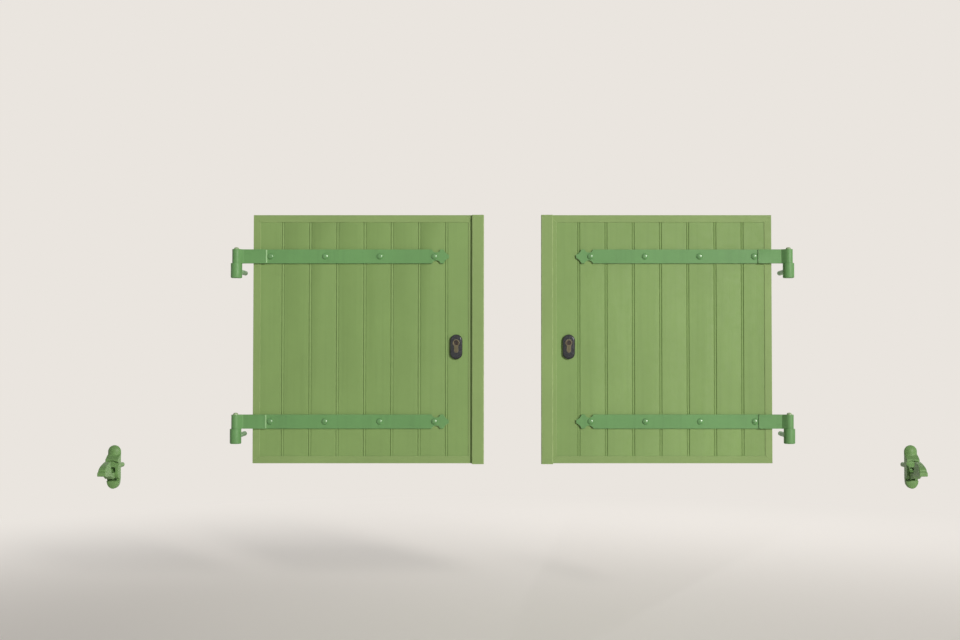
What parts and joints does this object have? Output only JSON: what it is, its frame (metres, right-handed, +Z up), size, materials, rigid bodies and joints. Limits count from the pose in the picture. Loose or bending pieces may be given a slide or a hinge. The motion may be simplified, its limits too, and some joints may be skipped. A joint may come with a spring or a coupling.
{
  "type": "pair of boarded window shutters",
  "caption": "Handed pair of boarded window shutters with strap hinges on wall pintles, locks and sprung holdbacks.",
  "frame": {"origin": "the point on its axis where the left upper pintle's shank enters the wall face", "axes": "seen from outside, +X is right, +Y goes into the wall and +Z is up; the wall face is Y = 0"},
  "size_m": [2.016, 0.1879, 0.682],
  "materials": {
    "board_paint": "satin sage green paint",
    "edging": "satin sage green paint",
    "strap_paint": "satin green paint",
    "bolt": "green paint, worn on the crown",
    "zinc": "dull zinc plate",
    "escutcheon": "dark bronze lacquer",
    "brass": "dull brass",
    "holdback": "matt green"
  },
  "bodies": {
    "wall_fixings": {"left_pintle_upper": "strap_paint", "left_pintle_lower": "strap_paint", "left_holdback_body": "holdback", "right_pintle_upper": "strap_paint", "right_pintle_lower": "strap_paint", "right_holdback_body": "holdback"},
    "left_leaf": {"left_board_1": "board_paint", "left_board_2": "board_paint", "left_board_3": "board_paint", "left_board_4": "board_paint", "left_board_5": "board_paint", "left_board_6": "board_paint", "left_board_7": "board_paint", "left_board_8": "board_paint", "left_edging_top": "edging", "left_edging_bottom": "edging", "left_edging_hinge_side": "edging", "left_edging_lock_side": "edging", "left_cover_strip": "edging", "left_strap_upper": "strap_paint", "left_strap_lower": "strap_paint", "left_backing_strap_upper": "strap_paint", "left_backing_strap_lower": "strap_paint", "left_strap_bolts": "bolt", "left_strap_nuts": "zinc", "left_lock_escutcheon": "escutcheon", "left_lock_cylinder": "brass", "left_lock_case": "strap_paint"},
    "left_plug": {"left_cylinder_plug": "brass"},
    "left_deadbolt": {"left_lock_bolt": "zinc"},
    "left_catch": {"left_holdback_catch": "holdback"},
    "right_leaf": {"right_board_1": "board_paint", "right_board_2": "board_paint", "right_board_3": "board_paint", "right_board_4": "board_paint", "right_board_5": "board_paint", "right_board_6": "board_paint", "right_board_7": "board_paint", "right_board_8": "board_paint", "right_edging_top": "edging", "right_edging_bottom": "edging", "right_edging_hinge_side": "edging", "right_edging_lock_side": "edging", "right_cover_strip": "edging", "right_strap_upper": "strap_paint", "right_strap_lower": "strap_paint", "right_backing_strap_upper": "strap_paint", "right_backing_strap_lower": "strap_paint", "right_strap_bolts": "bolt", "right_strap_nuts": "zinc", "right_lock_escutcheon": "escutcheon", "right_lock_cylinder": "brass", "right_lock_case": "strap_paint"},
    "right_plug": {"right_cylinder_plug": "brass"},
    "right_deadbolt": {"right_lock_bolt": "zinc"},
    "right_catch": {"right_holdback_catch": "holdback"}
  },
  "joints": [
    {"name": "left_leaf_hinge", "type": "hinge", "parent": "wall_fixings", "child": "left_leaf", "pos_m": [0, -0.0126, 0], "axis": [0, 0, -1], "range_deg": [0, 180]},
    {"name": "left_plug_turn", "type": "hinge", "parent": "left_leaf", "child": "left_plug", "pos_m": [0.5476, 0, -0.18], "axis": [0, 1, 0], "range_deg": [0, 360]},
    {"name": "left_deadbolt_slide", "type": "slide", "parent": "left_leaf", "child": "left_deadbolt", "axis": [1, 0, 0], "range_m": [0, 0.015]},
    {"name": "left_catch_tip", "type": "hinge", "parent": "wall_fixings", "child": "left_catch", "pos_m": [-0.304, -0.0094, -0.504], "axis": [1, 0, 0], "range_deg": [0, 20], "stiffness_Nm_per_rad": 0.2, "springref_deg": -29.79},
    {"name": "right_leaf_hinge", "type": "hinge", "parent": "wall_fixings", "child": "right_leaf", "pos_m": [1.376, -0.0126, 0], "axis": [0, 0, 1], "range_deg": [0, 180]},
    {"name": "right_plug_turn", "type": "hinge", "parent": "right_leaf", "child": "right_plug", "pos_m": [0.8284, 0, -0.18], "axis": [0, -1, 0], "range_deg": [0, 360]},
    {"name": "right_deadbolt_slide", "type": "slide", "parent": "right_leaf", "child": "right_deadbolt", "axis": [-1, 0, 0], "range_m": [0, 0.015]},
    {"name": "right_catch_tip", "type": "hinge", "parent": "wall_fixings", "child": "right_catch", "pos_m": [1.68, -0.0094, -0.504], "axis": [1, 0, 0], "range_deg": [0, 20], "stiffness_Nm_per_rad": 0.2, "springref_deg": -29.79}
  ],
  "couplings": [
    {"joint": "left_plug_turn", "follows": "left_deadbolt_slide", "rad_per_m": 418.88},
    {"joint": "right_plug_turn", "follows": "right_deadbolt_slide", "rad_per_m": 418.88}
  ]
}
